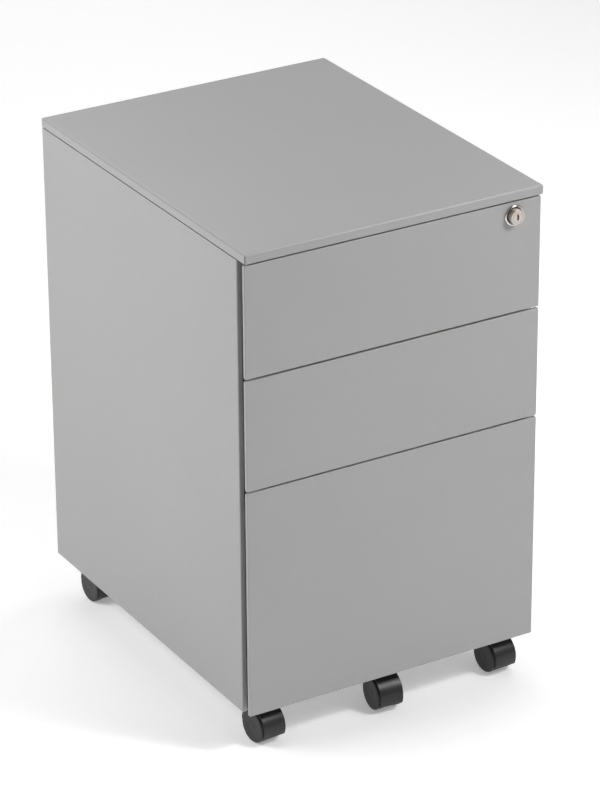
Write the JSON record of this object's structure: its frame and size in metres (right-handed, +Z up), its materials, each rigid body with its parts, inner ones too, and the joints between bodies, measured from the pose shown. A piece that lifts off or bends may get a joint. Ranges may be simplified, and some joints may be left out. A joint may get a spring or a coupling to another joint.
{
  "type": "rolling pedestal cabinet",
  "caption": "Box-shaped sheet steel drawer pedestal on hooded twin-wheel castors, with side finger recesses, a cylinder lock and a deep filing drawer.",
  "frame": {"origin": "on the floor, under the middle of the cabinet", "axes": "+Z up, -Y towards the drawer fronts, +X to the right of someone facing the fronts"},
  "size_m": [0.38, 0.4748, 0.615],
  "materials": {
    "silver_paint": "satin light silver-grey powder coat",
    "inner_paint": "satin silver-grey powder coat",
    "zinc": "bright zinc-plated steel",
    "chrome": "polished chrome",
    "nickel": "satin nickel",
    "steel": "zinc-plated steel",
    "castor_plastic": "matt black moulded nylon"
  },
  "bodies": {
    "carcass": {"top_cover": "silver_paint", "left_side": "silver_paint", "right_side": "silver_paint", "back_panel": "silver_paint", "base_tray": "silver_paint", "front_top_rail": "silver_paint", "lock_barrel": "nickel", "drawer_1_runner_fixed_left": "zinc", "drawer_1_runner_fixed_right": "zinc", "drawer_2_runner_fixed_left": "zinc", "drawer_2_runner_fixed_right": "zinc", "drawer_3_runner_fixed_left": "zinc", "drawer_3_runner_fixed_right": "zinc", "castor_front_left_mount": "steel", "castor_front_right_mount": "steel", "castor_back_left_mount": "steel", "castor_back_right_mount": "steel"},
    "drawer_1": {"drawer_1_front": "silver_paint", "drawer_1_box": "inner_paint", "drawer_1_runner_moving_left": "zinc", "drawer_1_runner_moving_right": "zinc", "lock_bezel": "chrome"},
    "drawer_2": {"drawer_2_front": "silver_paint", "drawer_2_box": "inner_paint", "drawer_2_runner_moving_left": "zinc", "drawer_2_runner_moving_right": "zinc"},
    "drawer_3": {"drawer_3_front": "silver_paint", "drawer_3_box": "inner_paint", "drawer_3_runner_moving_left": "zinc", "drawer_3_runner_moving_right": "zinc", "file_rail_left": "zinc", "file_rail_right": "zinc", "castor_front_centre_mount": "steel"},
    "runner_middle_left": {"drawer_3_runner_middle_left": "zinc"},
    "runner_middle_right": {"drawer_3_runner_middle_right": "zinc"},
    "lock_core": {"lock_plug": "nickel", "lock_cam": "zinc"},
    "lock_bar": {"lock_bar": "zinc"},
    "castor_front_left_swivel": {"castor_front_left_hood": "castor_plastic", "castor_front_left_axle": "steel"},
    "castor_front_left_wheel_left": {"castor_front_left_wheel_left": "castor_plastic"},
    "castor_front_left_wheel_right": {"castor_front_left_wheel_right": "castor_plastic"},
    "castor_front_right_swivel": {"castor_front_right_hood": "castor_plastic", "castor_front_right_axle": "steel"},
    "castor_front_right_wheel_left": {"castor_front_right_wheel_left": "castor_plastic"},
    "castor_front_right_wheel_right": {"castor_front_right_wheel_right": "castor_plastic"},
    "castor_front_centre_swivel": {"castor_front_centre_hood": "castor_plastic", "castor_front_centre_axle": "steel"},
    "castor_front_centre_wheel_left": {"castor_front_centre_wheel_left": "castor_plastic"},
    "castor_front_centre_wheel_right": {"castor_front_centre_wheel_right": "castor_plastic"},
    "castor_back_left_swivel": {"castor_back_left_hood": "castor_plastic", "castor_back_left_axle": "steel"},
    "castor_back_left_wheel_left": {"castor_back_left_wheel_left": "castor_plastic"},
    "castor_back_left_wheel_right": {"castor_back_left_wheel_right": "castor_plastic"},
    "castor_back_right_swivel": {"castor_back_right_hood": "castor_plastic", "castor_back_right_axle": "steel"},
    "castor_back_right_wheel_left": {"castor_back_right_wheel_left": "castor_plastic"},
    "castor_back_right_wheel_right": {"castor_back_right_wheel_right": "castor_plastic"}
  },
  "joints": [
    {"name": "drawer_1_slide", "type": "slide", "parent": "carcass", "child": "drawer_1", "axis": [0, -1, 0], "range_m": [0, 0.3]},
    {"name": "drawer_2_slide", "type": "slide", "parent": "carcass", "child": "drawer_2", "axis": [0, -1, 0], "range_m": [0, 0.3]},
    {"name": "drawer_3_slide", "type": "slide", "parent": "carcass", "child": "drawer_3", "axis": [0, -1, 0], "range_m": [0, 0.4]},
    {"name": "runner_middle_left_slide", "type": "slide", "parent": "carcass", "child": "runner_middle_left", "axis": [0, -1, 0], "range_m": [0, 0.2]},
    {"name": "runner_middle_right_slide", "type": "slide", "parent": "carcass", "child": "runner_middle_right", "axis": [0, -1, 0], "range_m": [0, 0.2]},
    {"name": "lock_turn", "type": "hinge", "parent": "carcass", "child": "lock_core", "pos_m": [0.1535, -0.2, 0.5852], "axis": [0, -1, 0], "range_deg": [0, 90]},
    {"name": "lock_bar_slide", "type": "slide", "parent": "carcass", "child": "lock_bar", "axis": [0, 0, 1], "range_m": [0, 0.01202]},
    {"name": "castor_front_left_turn", "type": "hinge", "parent": "carcass", "child": "castor_front_left_swivel", "pos_m": [-0.1565, -0.187, 0], "axis": [0, 0, 1], "continuous": true},
    {"name": "castor_front_left_wheel_left_spin", "type": "hinge", "parent": "castor_front_left_swivel", "child": "castor_front_left_wheel_left", "pos_m": [-0.15497, -0.20293, 0.02], "axis": [0.9954, 0.0958, 0], "continuous": true},
    {"name": "castor_front_left_wheel_right_spin", "type": "hinge", "parent": "castor_front_left_swivel", "child": "castor_front_left_wheel_right", "pos_m": [-0.15497, -0.20293, 0.02], "axis": [0.9954, 0.0958, 0], "continuous": true},
    {"name": "castor_front_right_turn", "type": "hinge", "parent": "carcass", "child": "castor_front_right_swivel", "pos_m": [0.1565, -0.187, 0], "axis": [0, 0, 1], "continuous": true},
    {"name": "castor_front_right_wheel_left_spin", "type": "hinge", "parent": "castor_front_right_swivel", "child": "castor_front_right_wheel_left", "pos_m": [0.15748, -0.20297, 0.02], "axis": [0.9981, 0.061, 0], "continuous": true},
    {"name": "castor_front_right_wheel_right_spin", "type": "hinge", "parent": "castor_front_right_swivel", "child": "castor_front_right_wheel_right", "pos_m": [0.15748, -0.20297, 0.02], "axis": [0.9981, 0.061, 0], "continuous": true},
    {"name": "castor_front_centre_turn", "type": "hinge", "parent": "drawer_3", "child": "castor_front_centre_swivel", "pos_m": [0, -0.195, 0], "axis": [0, 0, 1], "continuous": true},
    {"name": "castor_front_centre_wheel_left_spin", "type": "hinge", "parent": "castor_front_centre_swivel", "child": "castor_front_centre_wheel_left", "pos_m": [-0.00098, -0.21097, 0.02], "axis": [0.9981, -0.061, 0], "continuous": true},
    {"name": "castor_front_centre_wheel_right_spin", "type": "hinge", "parent": "castor_front_centre_swivel", "child": "castor_front_centre_wheel_right", "pos_m": [-0.00098, -0.21097, 0.02], "axis": [0.9981, -0.061, 0], "continuous": true},
    {"name": "castor_back_left_turn", "type": "hinge", "parent": "carcass", "child": "castor_back_left_swivel", "pos_m": [-0.1565, 0.205, 0], "axis": [0, 0, 1], "continuous": true},
    {"name": "castor_back_left_wheel_left_spin", "type": "hinge", "parent": "castor_back_left_swivel", "child": "castor_back_left_wheel_left", "pos_m": [-0.15566, 0.18902, 0.02], "axis": [0.9986, 0.0523, 0], "continuous": true},
    {"name": "castor_back_left_wheel_right_spin", "type": "hinge", "parent": "castor_back_left_swivel", "child": "castor_back_left_wheel_right", "pos_m": [-0.15566, 0.18902, 0.02], "axis": [0.9986, 0.0523, 0], "continuous": true},
    {"name": "castor_back_right_turn", "type": "hinge", "parent": "carcass", "child": "castor_back_right_swivel", "pos_m": [0.1565, 0.205, 0], "axis": [0, 0, 1], "continuous": true},
    {"name": "castor_back_right_wheel_left_spin", "type": "hinge", "parent": "castor_back_right_swivel", "child": "castor_back_right_wheel_left", "pos_m": [0.15594, 0.18901, 0.02], "axis": [0.9994, -0.0349, 0], "continuous": true},
    {"name": "castor_back_right_wheel_right_spin", "type": "hinge", "parent": "castor_back_right_swivel", "child": "castor_back_right_wheel_right", "pos_m": [0.15594, 0.18901, 0.02], "axis": [0.9994, -0.0349, 0], "continuous": true}
  ],
  "couplings": [
    {"joint": "runner_middle_left_slide", "follows": "drawer_3_slide", "ratio": 0.5},
    {"joint": "runner_middle_right_slide", "follows": "drawer_3_slide", "ratio": 0.5},
    {"joint": "lock_turn", "follows": "lock_bar_slide", "rad_per_m": 130.67}
  ]
}
